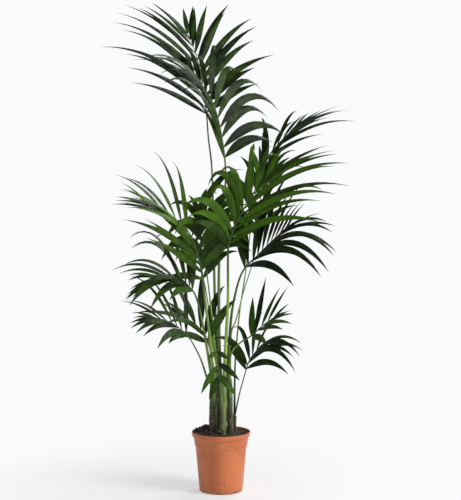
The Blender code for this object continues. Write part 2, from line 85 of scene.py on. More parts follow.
# Turns and lifts, in degrees, that a leaflet may take to pass clear of another
OWN_STATION = 2
SWINGS = (0, 4, 8, 12, 16, 20, 25, 30, 36, 42)
SWING_WAYS = ((1, 0), (-1, 0), (0, 1), (0, -1), (0.7, 0.7), (0.7, -0.7), (-0.7, 0.7), (-0.7, -0.7))

DOWN = Vector((0, 0, -1))


class Stem(NamedTuple):
    """A seedling's sheathed base, from its foot in the compost to the crown that its fronds leave."""

    name: str
    foot: tuple
    crown: tuple
    foot_radius: float
    crown_radius: float
    ring: float


class Side(NamedTuple):
    """Leaflets along one side of a frond: spread in degrees at its foot and tip, level 1 faces the sky."""

    longest: float
    widest: float
    spread: tuple
    lift: float
    droop: float
    level: float


class Frond(NamedTuple):
    """One whole frond: a stalk along route, leaflets in pairs from route point blade on. Its brightness is
    partly its own tone and partly painted light and shade.
    """

    name: str
    stem: str
    seat: float
    stalk_radius: float
    route: tuple
    blade: int
    facing: tuple
    pairs: int
    left: Side
    right: Side
    brightness: float


STEMS = (
    Stem("stem_left", (-0.029, -0.008), (-0.029, -0.012, 0.385), 0.0165, 0.0120, 0.0068),
    Stem("stem_back", (-0.006, 0.034), (-0.010, 0.036, 0.440), 0.0130, 0.0115, 0.0065),
    Stem("stem_front", (0.008, -0.036), (0.009, -0.040, 0.330), 0.0105, 0.0105, 0.0055),
    Stem("stem_right", (0.034, -0.004), (0.030, -0.006, 0.400), 0.0135, 0.0105, 0.0058),
    Stem("stem_slim", (0.046, 0.030), (0.049, 0.030, 0.262), 0.0080, 0.0075, 0.0040),
)

# Brightness, each frond's last number, is partly the frond's own tone and partly painted light and shade:
# high where a frond is lit, low where it lies in shade.
FRONDS = (
    Frond(
        "frond_top", "stem_back", 90, 0.0042,
        ((-0.018, 0.050, 0.536), (-0.026, 0.075, 0.817), (-0.030, 0.100, 1.042),
         (-0.035, 0.120, 1.169), (-0.047, 0.135, 1.268), (-0.054, 0.148, 1.357),
         (-0.067, 0.165, 1.454), (-0.082, 0.183, 1.536), (-0.100, 0.205, 1.598),
         (-0.125, 0.235, 1.661)),
        5, (0.25, -0.75, 0.60), 12,
        Side(0.40, 0.030, (54, 24), 12, 0.7, 0.25), Side(0.31, 0.031, (54, 14), 12, 0.6, 0.05), 0.05,
    ),
    Frond(
        "frond_high", "stem_back", 0, 0.0046,
        ((-0.007, 0.035, 0.537), (-0.007, 0.045, 0.818), (0.007, 0.055, 0.988),
         (0.016, 0.060, 1.106), (0.014, 0.060, 1.186), (0.003, 0.062, 1.265),
         (-0.011, 0.068, 1.337), (-0.033, 0.078, 1.399), (-0.062, 0.095, 1.447),
         (-0.099, 0.115, 1.485)),
        4, (0.40, -0.55, 0.70), 10,
        Side(0.42, 0.028, (24, 32), 20, 1.2, 0.25), Side(0.30, 0.037, (50, 12), 20, 1.5, 0.00), 0.10,
    ),
    Frond(
        "frond_left_upper", "stem_left", 290, 0.0042,
        ((-0.039, -0.020, 0.544), (-0.056, -0.035, 0.688), (-0.067, -0.045, 0.788),
         (-0.091, -0.060, 0.877), (-0.111, -0.075, 0.927), (-0.148, -0.100, 0.969),
         (-0.195, -0.130, 1.004), (-0.248, -0.165, 1.028)),
        2, (0.22, -0.62, 0.75), 12,
        Side(0.42, 0.030, (46, 20), 20, 0.4, 0.10), Side(0.30, 0.036, (50, 18), 30, 1.0, 0.05), 0.40,
    ),
    Frond(
        "frond_centre", "stem_front", 20, 0.0048,
        ((0.011, -0.040, 0.386), (0.018, -0.050, 0.548), (0.025, -0.060, 0.690),
         (0.025, -0.065, 0.825), (0.027, -0.070, 0.881), (0.043, -0.075, 0.934),
         (0.071, -0.080, 0.993), (0.102, -0.085, 1.049), (0.137, -0.090, 1.098),
         (0.178, -0.100, 1.132)),
        4, (-0.30, -0.80, 0.50), 12,
        Side(0.24, 0.035, (42, 20), 32, 1.5, 0.15), Side(0.45, 0.028, (50, 10), 16, 0.7, 0.10), 0.78,
    ),
    Frond(
        "frond_left_centre", "stem_back", 235, 0.0032,
        ((-0.025, 0.015, 0.540), (-0.039, 0.010, 0.684), (-0.050, 0.005, 0.774),
         (-0.059, 0.000, 0.825), (-0.062, -0.008, 0.879), (-0.066, -0.016, 0.936),
         (-0.076, -0.024, 0.989)),
        3, (0.30, -0.85, 0.35), 6,
        Side(0.25, 0.036, (44, 18), 36, 1.8, 0.10), Side(0.25, 0.036, (44, 18), 36, 1.8, 0.10), 0.70,
    ),
    Frond(
        "frond_right_back", "stem_right", 60, 0.0026,
        ((0.036, 0.020, 0.557), (0.054, 0.030, 0.610), (0.083, 0.045, 0.717),
         (0.115, 0.060, 0.818), (0.134, 0.075, 0.904), (0.141, 0.090, 0.987),
         (0.145, 0.105, 1.071), (0.153, 0.120, 1.144)),
        4, (-0.30, -0.80, 0.50), 6,
        Side(0.24, 0.032, (34, 10), 14, 1.0, 0.15), Side(0.28, 0.030, (34, 10), 14, 1.2, 0.15), 0.35,
    ),
    Frond(
        "frond_right_top", "stem_slim", 100, 0.0030,
        ((0.050, 0.030, 0.429), (0.057, 0.045, 0.536), (0.068, 0.060, 0.643),
         (0.079, 0.070, 0.715), (0.094, 0.090, 0.816), (0.109, 0.115, 0.950),
         (0.128, 0.140, 1.071), (0.161, 0.165, 1.182), (0.217, 0.180, 1.256),
         (0.270, 0.190, 1.306)),
        7, (-0.45, -0.60, 0.65), 7,
        Side(0.20, 0.022, (30, 8), 14, 0.9, 0.20), Side(0.33, 0.028, (44, 12), 14, 0.7, 0.10), 0.18,
    ),
    Frond(
        "frond_right_inner", "stem_right", 180, 0.0040,
        ((0.029, -0.005, 0.524), (0.039, -0.015, 0.644), (0.061, -0.030, 0.748),
         (0.085, -0.040, 0.802), (0.124, -0.055, 0.842), (0.158, -0.075, 0.878),
         (0.189, -0.100, 0.910), (0.219, -0.125, 0.935)),
        3, (-0.30, -0.60, 0.75), 10,
        Side(0.30, 0.040, (54, 18), 40, 0.9, 0.00), Side(0.50, 0.030, (50, 10), 24, 1.0, 0.10), 0.10,
    ),
    Frond(
        "frond_left_lower", "stem_left", 110, 0.0036,
        ((-0.044, -0.010, 0.473), (-0.064, -0.032, 0.599), (-0.081, -0.045, 0.679),
         (-0.098, -0.060, 0.722), (-0.129, -0.080, 0.752), (-0.166, -0.105, 0.768),
         (-0.209, -0.135, 0.770)),
        3, (0.25, -0.60, 0.75), 10,
        Side(0.34, 0.031, (46, 12), 24, 0.9, 0.05), Side(0.27, 0.034, (54, 16), 30, 1.3, 0.05), 0.22,
    ),
    Frond(
        "frond_left_lowest", "stem_left", 200, 0.0030,
        ((-0.050, -0.034, 0.413), (-0.067, -0.046, 0.468), (-0.088, -0.060, 0.517),
         (-0.118, -0.085, 0.569), (-0.169, -0.120, 0.615), (-0.222, -0.155, 0.636)),
        3, (0.30, -0.60, 0.75), 7,
        Side(0.26, 0.028, (46, 12), 20, 0.8, 0.05), Side(0.24, 0.028, (46, 12), 24, 0.9, 0.05), 0.18,
    ),
    Frond(
        "frond_left_young", "stem_back", 165, 0.0030,
        ((-0.030, 0.042, 0.521), (-0.042, 0.040, 0.630), (-0.054, 0.036, 0.713),
         (-0.063, 0.030, 0.757), (-0.073, 0.022, 0.783)),
        3, (0.15, -0.90, 0.30), 2,
        Side(0.26, 0.030, (50, 25), 14, 1.3, 0.40), Side(0.26, 0.030, (50, 25), 14, 1.3, 0.40), 0.45,
    ),
    Frond(
        "frond_left_dark", "stem_left", 20, 0.0032,
        ((-0.026, 0.003, 0.427), (-0.033, 0.006, 0.477), (-0.046, 0.008, 0.530),
         (-0.065, 0.010, 0.569), (-0.097, 0.020, 0.597), (-0.133, 0.030, 0.614)),
        2, (0.35, -0.60, 0.70), 6,
        Side(0.27, 0.032, (52, 12), 22, 0.8, 0.20), Side(0.24, 0.034, (52, 12), 22, 0.8, 0.10), 0.12,
    ),
    Frond(
        "frond_low_front", "stem_front", 215, 0.0034,
        ((0.000, -0.050, 0.375), (-0.006, -0.060, 0.420), (-0.011, -0.068, 0.465),
         (-0.013, -0.080, 0.510)),
        1, (0.10, -0.95, 0.25), 3,
        Side(0.12, 0.027, (138, 112), 26, 0.5, 0.00), Side(0.12, 0.027, (138, 112), 26, 0.5, 0.00), 0.28,
    ),
    Frond(
        "frond_right_low", "stem_right", 290, 0.0032,
        ((0.029, -0.018, 0.430), (0.037, -0.024, 0.498), (0.068, -0.030, 0.535),
         (0.107, -0.040, 0.561), (0.145, -0.055, 0.598), (0.185, -0.075, 0.630)),
        3, (-0.28, -0.65, 0.75), 5,
        Side(0.19, 0.028, (56, 10), 26, 0.4, 0.20), Side(0.19, 0.028, (56, 10), 26, 0.5, 0.20), 0.30,
    ),
    Frond(
        "frond_right_droop", "stem_slim", 280, 0.0022,
        ((0.054, 0.024, 0.285), (0.068, 0.015, 0.352), (0.090, 0.005, 0.433),
         (0.104, -0.005, 0.474), (0.128, -0.020, 0.505), (0.160, -0.040, 0.519)),
        2, (-0.20, -0.60, 0.80), 7,
        Side(0.18, 0.028, (44, 12), 30, 1.2, 0.15), Side(0.34, 0.024, (44, 10), 24, 1.2, 0.10), 0.22,
    ),
)


# Working by hand


def deselect():
    if bpy.context.mode != "OBJECT":
        bpy.ops.object.mode_set(mode="OBJECT")
    bpy.ops.object.select_all(action="DESELECT")


def make_active(obj):
    deselect()
    obj.select_set(True)
    bpy.context.view_layer.objects.active = obj


def new_piece(name):
    """Names the primitive just added."""
    obj = bpy.context.active_object
    obj.name = name
    obj.data.name = name
    return obj


def apply_place(obj):
    make_active(obj)
    bpy.ops.object.transform_apply(location=True, rotation=True, scale=True)


def finish_mesh(obj, weld, sharp_angle):
    """Merges doubles, turns the faces outward and shades the piece smooth up to an angle."""
    make_active(obj)
    bpy.ops.object.mode_set(mode="EDIT")
    bpy.ops.mesh.select_all(action="SELECT")
    bpy.ops.mesh.remove_doubles(threshold=weld)
    bpy.ops.mesh.normals_make_consistent(inside=False)
    bpy.ops.object.mode_set(mode="OBJECT")
    bpy.ops.object.shade_smooth_by_angle(angle=math.radians(sharp_angle))


def join_pieces(name, pieces):
    deselect()
    for piece in pieces:
        piece.select_set(True)
    bpy.context.view_layer.objects.active = pieces[0]
    bpy.ops.object.join()
    return new_piece(name)


def paint(obj, *finishes):
    obj.data.materials.clear()
    for finish in finishes:
        obj.data.materials.append(finish)


def stands_for(obj, node):
    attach(obj, "root")
    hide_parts(node)


def spun_profile(name, points, steps):
    """A solid turned about Z from (radius, height) points, drawn one after the other."""
    start = (points[0][0], 0, points[0][1])
    deselect()
    bpy.ops.mesh.primitive_plane_add(size=0.001, location=start)
    obj = new_piece(name)
    apply_place(obj)
    bpy.ops.object.mode_set(mode="EDIT")
    bpy.ops.mesh.select_all(action="SELECT")
    bpy.ops.mesh.merge(type="CENTER")
    for near, far in zip(points, points[1:]):
        step = (far[0] - near[0], 0, far[1] - near[1])
        bpy.ops.mesh.extrude_region_move(TRANSFORM_OT_translate={"value": step})
    bpy.ops.mesh.select_all(action="SELECT")
    bpy.ops.mesh.spin(steps=steps, angle=math.tau, center=(0, 0, 0), axis=(0, 0, 1))
    bpy.ops.object.mode_set(mode="OBJECT")
    return obj


# Pot


POT_OUTSIDE = (
    (0.1029, 0.2119), (0.1034, 0.2127), (0.1041, 0.2130), (0.1048, 0.2127), (0.1050, 0.2118),
    (0.1049, 0.2098), (0.1044, 0.2086), (0.1043, 0.2078), (0.1046, 0.2068), (0.1043, 0.2030),
    (0.1037, 0.1990), (0.1033, 0.1976), (0.1024, 0.1968), (0.1000, 0.1960), (0.0988, 0.1952),
    (0.0983, 0.1935), (0.0972, 0.1850), (0.0955, 0.1720), (0.0946, 0.1650), (0.0943, 0.1636),
    (0.0936, 0.1627), (0.0922, 0.1621), (0.0916, 0.1608), (0.0897, 0.1400), (0.0870, 0.1100),
    (0.0843, 0.0800), (0.0817, 0.0500), (0.0795, 0.0250), (0.0780, 0.0080), (0.0776, 0.0040),
    (0.0769, 0.0018), (0.0758, 0.0004), (0.0745, 0.0000), (0.0712, 0.0000), (0.0704, 0.0008),
    (0.0350, 0.0010), (0.0, 0.0010),
)
POT_INSIDE = (
    (0.0, 0.0025), (0.0400, 0.0025), (0.0740, 0.0025), (0.0758, 0.0032), (0.0763, 0.0060),
    (0.0802, 0.0500), (0.0855, 0.1100), (0.0899, 0.1600), (0.0904, 0.1612), (0.0922, 0.1630),
    (0.0930, 0.1655), (0.0968, 0.1935), (0.0975, 0.1958), (0.1010, 0.1982), (0.1018, 0.2000),
)


def make_pot(plastic):
    pot = spun_profile("pot_moulding", POT_INSIDE + POT_OUTSIDE, POT_ROUND)
    finish_mesh(pot, MERGE, 40)
    cutters = []
    for slot in range(DRAIN_SLOTS):
        turn = DRAIN_TURN + slot * math.tau / DRAIN_SLOTS
        place = (FOOT_RADIUS * math.cos(turn), FOOT_RADIUS * math.sin(turn), 0)
        deselect()
        bpy.ops.mesh.primitive_cube_add(size=1, location=place, rotation=(0, 0, turn), scale=DRAIN_SIZE)
        cutters.append(new_piece(f"drain_slot_{slot}"))
        apply_place(cutters[-1])
    slots = join_pieces("drain_slots", cutters)
    make_active(slots)
    bevel = slots.modifiers.new("Rounded corners", "BEVEL")
    bevel.width = 0.002
    bevel.segments = 3
    bpy.ops.object.modifier_apply(modifier=bevel.name)
    make_active(pot)
    cut = pot.modifiers.new("Drain slots", "BOOLEAN")
    cut.operation = "DIFFERENCE"
    cut.object = slots
    bpy.ops.object.modifier_apply(modifier=cut.name)
    bpy.data.objects.remove(slots, do_unlink=True)
    finish_mesh(pot, MERGE, 35)
    paint(pot, plastic)
    stands_for(pot, "pot")


# Compost


def heap_height(x, y):
    """Height of the compost above its level: a heap on the left, lumps all over, lower at the wall."""
    away = math.hypot(x - HEAP_CENTRE[0], y - HEAP_CENTRE[1]) / HEAP_RADIUS
    edge = min(1.0, max(0.0, (SOIL_RADIUS - math.hypot(x, y)) / 0.030))
    heap = HEAP_HEIGHT * math.exp(-away * away) * (0.55 + 0.45 * edge)
    spot = Vector((x, y, 0.37))
    lumps = 0.0042 * noise.fractal(spot * 55, 1.0, 2.0, 3)
    clods = 0.0050 * max(0.0, noise.noise(spot * 95)) ** 1.5
    grains = 0.0010 * noise.noise(spot * 420)
    return heap + (0.25 + 0.75 * edge) * (lumps + clods) + grains - 0.0015


def crumb_blank():
    """One crumb of compost: a small uneven lump."""
    deselect()
    bpy.ops.mesh.primitive_ico_sphere_add(subdivisions=1, radius=1)
    crumb = new_piece("crumb")
    for vertex in crumb.data.vertices:
        vertex.co *= 1 + 0.45 * noise.noise(vertex.co * 2.3)
    return crumb


def scattered_crumbs(blank):
    """Crumbs over the compost, thicker on the heap and larger on the left."""
    dice = random.Random(21)
    limit = SOIL_RADIUS * 0.97
    crumbs = []
    for number in range(CRUMBS):
        angle = dice.uniform(0, math.tau)
        reach = limit * math.sqrt(dice.random())
        x = reach * math.cos(angle)
        y = reach * math.sin(angle)
        if number % 3 == 0:
            x = HEAP_CENTRE[0] + dice.gauss(0, 0.022)
            y = 0.010 + dice.gauss(0, 0.030)
        if math.hypot(x, y) > limit:
            continue
        size = dice.uniform(0.0012, 0.0040) * (1.45 if x < -0.02 else 0.90)
        copy = bpy.data.objects.new("crumb_copy", blank.data.copy())
        bpy.context.collection.objects.link(copy)
        turn = Matrix.Rotation(dice.uniform(0, math.tau), 4, Vector((dice.random(), 1, 0.4)).normalized())
        flat = Matrix.Diagonal((size * dice.uniform(0.8, 1.6), size, size * dice.uniform(0.6, 1.0), 1))
        height = SOIL_LEVEL + heap_height(x, y) + size * 0.25
        copy.data.transform(Matrix.Translation((x, y, height)) @ turn @ flat)
        crumbs.append(copy)
    return crumbs


def make_compost(compost):
    rings = [(SOIL_RADIUS * ring / 30, SOIL_LEVEL) for ring in range(31)]
    body = [(0.0972, 0.1962), (0.0962, 0.1935), (0.0924, 0.1660), (0.0898, 0.1600), (0.0800, 0.0500)]
    points = rings + body + [(0.0762, 0.0040), (0.0, 0.0040)]
    soil = spun_profile("compost_heap", points, 110)
    finish_mesh(soil, MERGE, 60)
    for vertex in soil.data.vertices:
        if vertex.co.z > SOIL_LEVEL - 0.0001:
            vertex.co.z += heap_height(vertex.co.x, vertex.co.y)
    paint(soil, compost)
    stands_for(soil, "soil")
    blank = crumb_blank()
    crumbs = join_pieces("compost_crumbs", scattered_crumbs(blank))
    bpy.data.objects.remove(blank, do_unlink=True)
    paint(crumbs, compost)
    stands_for(crumbs, "soil")


# Stems and stalks


def smooth_route(points, steps):
    """Points along a Catmull-Rom curve through the given points, steps to each stretch."""
    guide = [Vector(point) for point in points]
    guide = [2 * guide[0] - guide[1]] + guide + [2 * guide[-1] - guide[-2]]
    route = []
    for i in range(1, len(guide) - 2):
        a, b, c, d = guide[i - 1 : i + 3]
        for step in range(steps):
            t = step / steps
            turn = (2 * a - 5 * b + 4 * c - d) * t * t
            route.append(0.5 * (2 * b + (c - a) * t + turn + (3 * b - a - 3 * c + d) * t * t * t))
    return route + [guide[-2]]


def rod(name, route, radii, sides):
    """A closed rod along route: a poly curve with a round bevel, made a mesh."""
    deselect()
    bpy.ops.curve.primitive_nurbs_path_add()
    guide = new_piece(name)
    curve = guide.data
    curve.splines.clear()
    spline = curve.splines.new("POLY")
    spline.points.add(len(route) - 1)
    for place, point, radius in zip(spline.points, route, radii):
        place.co = (*point, 1.0)
        place.radius = radius
    curve.bevel_depth = 1.0
    curve.bevel_resolution = (sides - 4) // 2
    curve.use_fill_caps = True
    bpy.ops.object.convert(target="MESH")
    finish_mesh(guide, MERGE, 50)
    return bpy.context.active_object


def stem_ends(stem):
    return Vector((*stem.foot, SOIL_LEVEL - STEM_DEPTH)), Vector(stem.crown)


def stem_of(frond):
    return next(stem for stem in STEMS if stem.name == frond.stem)


def stalk_points(frond):
    """The frond's seat in its stem's crown, then the points of its own route."""
    stem = stem_of(frond)
    foot, crown = stem_ends(stem)
    along = (crown - foot).normalized()
    turn = math.radians(frond.seat)
    seat = crown + stem.ring * Vector((math.cos(turn), math.sin(turn), 0))
    return [seat - along * POCKET_DEPTH, seat] + [Vector(point) for point in frond.route]


def stalk_radius(frond, share):
    return frond.stalk_radius + (END_RADIUS - frond.stalk_radius) * share**STALK_TAPER


def make_stem(stem, sheath):
    """The sheathed base, drawn up ring by ring, each old sheath ending in a low step."""
    foot, crown = stem_ends(stem)
    deselect()
    bpy.ops.mesh.primitive_circle_add(vertices=28, radius=stem.foot_radius, fill_type="NGON", location=foot)
    obj = new_piece(stem.name + "_sheaths")
    apply_place(obj)
    bpy.ops.object.mode_set(mode="EDIT")
    bpy.ops.mesh.select_all(action="SELECT")
    profile = sheath_profile(stem)
    centre = foot.copy()
    for near, far in zip(profile, profile[1:]):
        step = (crown - foot) * (far[0] - near[0])
        bpy.ops.mesh.extrude_region_move(TRANSFORM_OT_translate={"value": step})
        centre += step
        grow = far[1] / near[1]
        bpy.ops.transform.resize(value=(grow, grow, 1), center_override=centre)
    bpy.ops.object.mode_set(mode="OBJECT")
    for vertex in obj.data.vertices:
        share = (vertex.co.z - foot.z) / (crown.z - foot.z)
        middle = foot.lerp(crown, share)
        out = vertex.co - middle
        out.z = 0
        turn = math.atan2(out.y, out.x)
        ribs = 1 + 0.045 * math.sin(3 * turn + 9 * share) + 0.02 * math.sin(11 * turn + 4 * share)
        if out.length > 0.0001:
            vertex.co = Vector((middle.x, middle.y, vertex.co.z)) + out * ribs
    finish_mesh(obj, MERGE, 60)
    paint(obj, sheath)
    stands_for(obj, stem.name)


def sheath_profile(stem):
    """(share of height, radius) up the stem: a swollen foot, then steps where old sheaths end."""
    profile = []
    steps = 5
    for step in range(steps):
        low = step / steps
        high = (step + 1) / steps
        for share, wide in (
            (low, 1.05), (low + 0.25 / steps, 1.035), (low + 0.7 / steps, 1.01), (high - 0.02, 1.0),
        ):
            radius = stem.foot_radius + (stem.crown_radius - stem.foot_radius) * share
            profile.append((share, radius * wide * (1.06 - 0.06 * min(1.0, share * 4))))
    profile.append((1.0, stem.crown_radius * 0.95))
    profile.append((1.012, stem.crown_radius * 0.75))
    return profile


def make_stalk(frond, stalk_skin):
    """The stalk from the sheath that clasps its stem, up its rachis to the last leaflets."""
    stem = stem_of(frond)
    foot, crown = stem_ends(stem)
    points = stalk_points(frond)
    route = smooth_route(points, STALK_STEPS)
    count = len(route)
    radii = [stalk_radius(frond, k / (count - 1)) for k in range(count)]
    reach = [0.0]
    for near, far in zip(route, route[1:]):
        reach.append(reach[-1] + (far - near).length)
    clasp = 0.62 if frond.stalk_radius > 0.0035 else 0.34
    for k, gone in enumerate(reach):
        swell = max(0.0, 1 - gone / clasp)
        radii[k] *= 1 + 0.60 * swell
    out = (points[1] - crown) * 0.8
    lower = []
    for drop, inward in ((0.150, 0.35), (0.105, 0.80), (0.060, 1.0)):
        if crown.z - drop > SOIL_LEVEL - 0.02:
            share = (crown.z - drop - foot.z) / (crown.z - foot.z)
            lower.append((foot.lerp(crown, share) + out * inward * 1.1, radii[0] * (0.75 + 0.3 * inward)))
    route = [place for place, radius in lower] + route
    radii = [radius for place, radius in lower] + radii
    stalk = rod(frond.name + "_stalk", route, radii, 12)
    rise = stalk.data.attributes.new("rise", "FLOAT", "POINT")
    # tone carries the frond's brightness: partly its own tone, partly painted light and shade.
    tone = stalk.data.attributes.new("tone", "FLOAT", "POINT")
    for value in tone.data:
        value.value = frond.brightness
    blade_start = Vector(frond.route[frond.blade])
    for vertex, value in zip(stalk.data.vertices, rise.data):
        value.value = min(1.0, max(0.0, (vertex.co.z - crown.z) / max(0.05, blade_start.z - crown.z)))
    paint(stalk, stalk_skin)
    stands_for(stalk, frond.name)


# Leaflets


def leaflet_width(share):
    """Share of a leaflet's greatest width: quick to its widest, then a long taper."""
    if share < WIDEST_AT:
        return ROOT_WIDTH + (1 - ROOT_WIDTH) * math.sin(math.pi / 2 * share / WIDEST_AT)
    return math.cos(math.pi / 2 * (share - WIDEST_AT) / (1 - WIDEST_AT))


def leaflet_blank():
    """One leaflet laid out flat along +Y, one unit long and wide: four strips folded at the rib."""
    deselect()
    bpy.ops.mesh.primitive_grid_add(
        x_subdivisions=4, y_subdivisions=LEAFLET_ROWS, size=1, location=(0, 0.5, 0)
    )
    blank = new_piece("leaflet")
    apply_place(blank)
    bpy.ops.object.mode_set(mode="EDIT")
    sheet = bmesh.from_edit_mesh(blank.data)
    # The rows draw together toward the tip, where a leaflet bends most.
    for vertex in sheet.verts:
        share = vertex.co.y
        vertex.co.y = share * (1.18 - 0.18 * share)
    rows = sorted({round(vertex.co.y, 5) for vertex in sheet.verts})
    for row in rows:
        for vertex in sheet.verts:
            vertex.select = abs(vertex.co.y - row) < 0.0001
        sheet.select_flush_mode()
        bmesh.update_edit_mesh(blank.data)
        width = max(0.0, leaflet_width(row))
        bpy.ops.transform.resize(value=(max(0.004, width), 1, 1), center_override=(0, row, 0))
    for vertex in sheet.verts:
        across = abs(vertex.co.x)
        share = vertex.co.y
        full = leaflet_width(share) / 2
        fold = 1 - across / full if full > 0.01 else 0.0
        camber = 0.35 * math.sin(math.pi * min(1.0, across / full)) if full > 0.01 else 0.0
        vertex.co.z = RIB_RISE * leaflet_width(share) * (fold + camber)
    bmesh.update_edit_mesh(blank.data)
    close_leaflet(blank)
    bpy.ops.object.mode_set(mode="OBJECT")
    return blank


def close_leaflet(blank):
    """Gives the leaflet its underside: the same sheet turned over, welded to it at the edges."""
    bpy.ops.mesh.select_all(action="SELECT")
    bpy.ops.mesh.duplicate()
    bpy.ops.mesh.flip_normals()
    sheet = bmesh.from_edit_mesh(blank.data)
    for face in sheet.faces:
        face.material_index = 1 if face.select else 0
    for vertex in sheet.verts:
        if vertex.select and not vertex.is_boundary:
            vertex.co.z -= 0.012
    bmesh.update_edit_mesh(blank.data)
    bpy.ops.mesh.select_all(action="SELECT")
    bpy.ops.mesh.remove_doubles(threshold=0.0001)


def leaflet_sections(root, heading, face, length, widest, droop, stations):
    """(centre, across, face, width) at each station, as the leaflet bends under its weight."""
    sections = []
    centre = root.copy()
    level = face.lerp(-DOWN, LEVELLING)
    for index, share in enumerate(stations):
        if index:
            middle = (share + stations[index - 1]) / 2
            step = (share - stations[index - 1]) * length
            centre = centre + (heading + DOWN * droop * middle**DROOP_GROWTH).normalized() * step
        along = (heading + DOWN * droop * share**DROOP_GROWTH).normalized()
        turned_face = face.lerp(level, share)
        upward = (turned_face - along * turned_face.dot(along)).normalized()
        sections.append((centre, along.cross(upward), upward, widest * leaflet_width(share)))
    return sections


def passing_strip(sections, space, first=0):
    """Vertices and faces of the leaflet's strip from station first on, with space round it."""
    points = []
    faces = []
    for centre, across, upward, width in sections[first:]:
        half = across * (width / 2 + space)
        rise = upward * (space + LEAFLET_THICKNESS)
        low = centre - rise
        high = centre + rise
        points += [low - half, low + half, high + half, high - half]
    for row in range(len(sections) - first - 1):
        near = 4 * row
        for k in range(4):
            m = (k + 1) % 4
            faces.append((near + k, near + m, near + 4 + m, near + 4 + k))
    return points, faces


class Surroundings:
    """What a new leaflet must pass clear of: stalks, stems, and leaflets already in place."""

    def __init__(self):
        self.trees = []

    def add(self, owner, points, faces):
        self.trees.append((owner, BVHTree.FromPolygons(points, faces)))

    def add_rod(self, owner, route, radii, sides):
        guide = rod(owner, route, radii, sides)
        points = [vertex.co.copy() for vertex in guide.data.vertices]
        self.add(owner, points, [tuple(face.vertices) for face in guide.data.polygons])
        bpy.data.objects.remove(guide, do_unlink=True)

    def crossings(self, owner, sections):
        """Crossings with other pieces, from the root on, and with the same frond's leaflets."""
        whole = BVHTree.FromPolygons(*passing_strip(sections, PASSING_SPACE))
        outer = BVHTree.FromPolygons(*passing_strip(sections, PASSING_SPACE, OWN_STATION))
        own = "leaflets_" + owner
        found = sum(len(outer.overlap(tree)) for name, tree in self.trees if name == own)
        others = (tree for name, tree in self.trees if name not in (own, owner))
        return found + sum(len(whole.overlap(tree)) for tree in others)


def along_route(route, start, share):
    """The index and point at a share of the way from point start to the route's end."""
    lengths = [0.0]
    for near, far in zip(route[start:], route[start + 1 :]):
        lengths.append(lengths[-1] + (far - near).length)
    goal = share * lengths[-1]
    for k in range(1, len(lengths)):
        if lengths[k] >= goal or k == len(lengths) - 1:
            part = (goal - lengths[k - 1]) / (lengths[k] - lengths[k - 1])
            near = route[start + k - 1]
            return start + k - 1, near.lerp(route[start + k], min(1.0, part))


def leaflet_growth(share):
    """Length of the leaflets along the rachis: the longest a third of the way up, short at its end."""
    if share < LONGEST_AT:
        return 1 - (1 - FIRST_LENGTH) * ((LONGEST_AT - share) / LONGEST_AT) ** 2
    return 1 - (1 - LAST_LENGTH) * ((share - LONGEST_AT) / (1 - LONGEST_AT)) ** 1.5


def leaflet_plan(frond, route, blade):
    """(root, heading, face, length, width, droop) of each leaflet, in pairs from the stalk up."""
    facing = Vector(frond.facing).normalized()
    plan = []
    for pair in range(frond.pairs):
        share = pair / (frond.pairs - 1)
        for side, own in ((-1, frond.left), (1, frond.right)):
            place = share + side * STAGGER / frond.pairs * (1 - share)
            index, root = along_route(route, blade, max(0.0, place))
            before = route[max(0, index - 1)]
            after = route[min(len(route) - 1, index + 1)]
            along = (after - before).normalized()
            face = (facing - along * facing.dot(along)).normalized()
            across = along.cross(face)
            wobble = math.sin(Vector(WOBBLE_TURNS).dot((pair, side, len(frond.name))))
            spread = own.spread[0] + (own.spread[1] - own.spread[0]) * share
            angle = math.radians(spread + WOBBLE_ANGLE * wobble)
            lift = math.radians(own.lift)
            outward = across * side * math.cos(lift) + face * math.sin(lift)
            heading = along * math.cos(angle) + outward * math.sin(angle)
            level = face.lerp(-DOWN, own.level)
            flat = (level - heading * level.dot(heading)).normalized()
            length = own.longest * leaflet_growth(share) * (1 + WOBBLE_LENGTH * wobble)
            width = own.widest * (1 - TIP_NARROWING * share)
            plan.append((root, heading, flat, length, width, own.droop * leaflet_growth(share)))
    return plan


def settled_heading(surroundings, owner, root, heading, face, length, width, droop):
    """The leaflet's heading, swung just far enough to pass clear, and its coarse sections."""
    across = heading.cross(face)
    best = None
    for reach in SWINGS:
        for lift, swing in SWING_WAYS:
            tilt = math.tan(math.radians(reach))
            way = (heading + face * lift * tilt + across * swing * tilt).normalized()
            sections = leaflet_sections(root, way, face, length, width, droop, SETTLING_STATIONS)
            hits = surroundings.crossings(owner, sections)
            if best is None or hits < best[0]:
                best = (hits, way, sections)
            if hits == 0:
                return way, sections
    return best[1:]


def bent_leaflet(blank, name, leaflet, number, brightness):
    """A copy of the flat leaflet, bent along its own sections, its green set by its frond's brightness and
    a random spread: partly its own tone, partly painted light and shade.
    """
    root, heading, face, length, width, droop = leaflet
    copy = bpy.data.objects.new(name, blank.data.copy())
    bpy.context.collection.objects.link(copy)
    stations = sorted({round(vertex.co.y, 4) for vertex in copy.data.vertices})
    sections = leaflet_sections(root, heading, face, length, width, droop, stations)
    rows = dict(zip(stations, sections))
    dice = random.Random(number)
    twist = TWIST * dice.uniform(-1, 1)
    for vertex in copy.data.vertices:
        share = round(vertex.co.y, 4)
        centre, across, upward, here = rows[share]
        turn = twist * share * share
        side = across * math.cos(turn) + upward * math.sin(turn)
        rise = upward * math.cos(turn) - across * math.sin(turn)
        vertex.co = centre + side * vertex.co.x * width + rise * vertex.co.z * width
    # The shade value is the frond's brightness with a random spread: partly the leaflet's own tone, partly
    # painted light and shade.
    shade = copy.data.attributes.new("shade", "FLOAT", "FACE")
    level = min(1.0, max(0.0, brightness + dice.uniform(-1, 1) * (0.12 + 0.5 * brightness)))
    for value in shade.data:
        value.value = level
    return copy


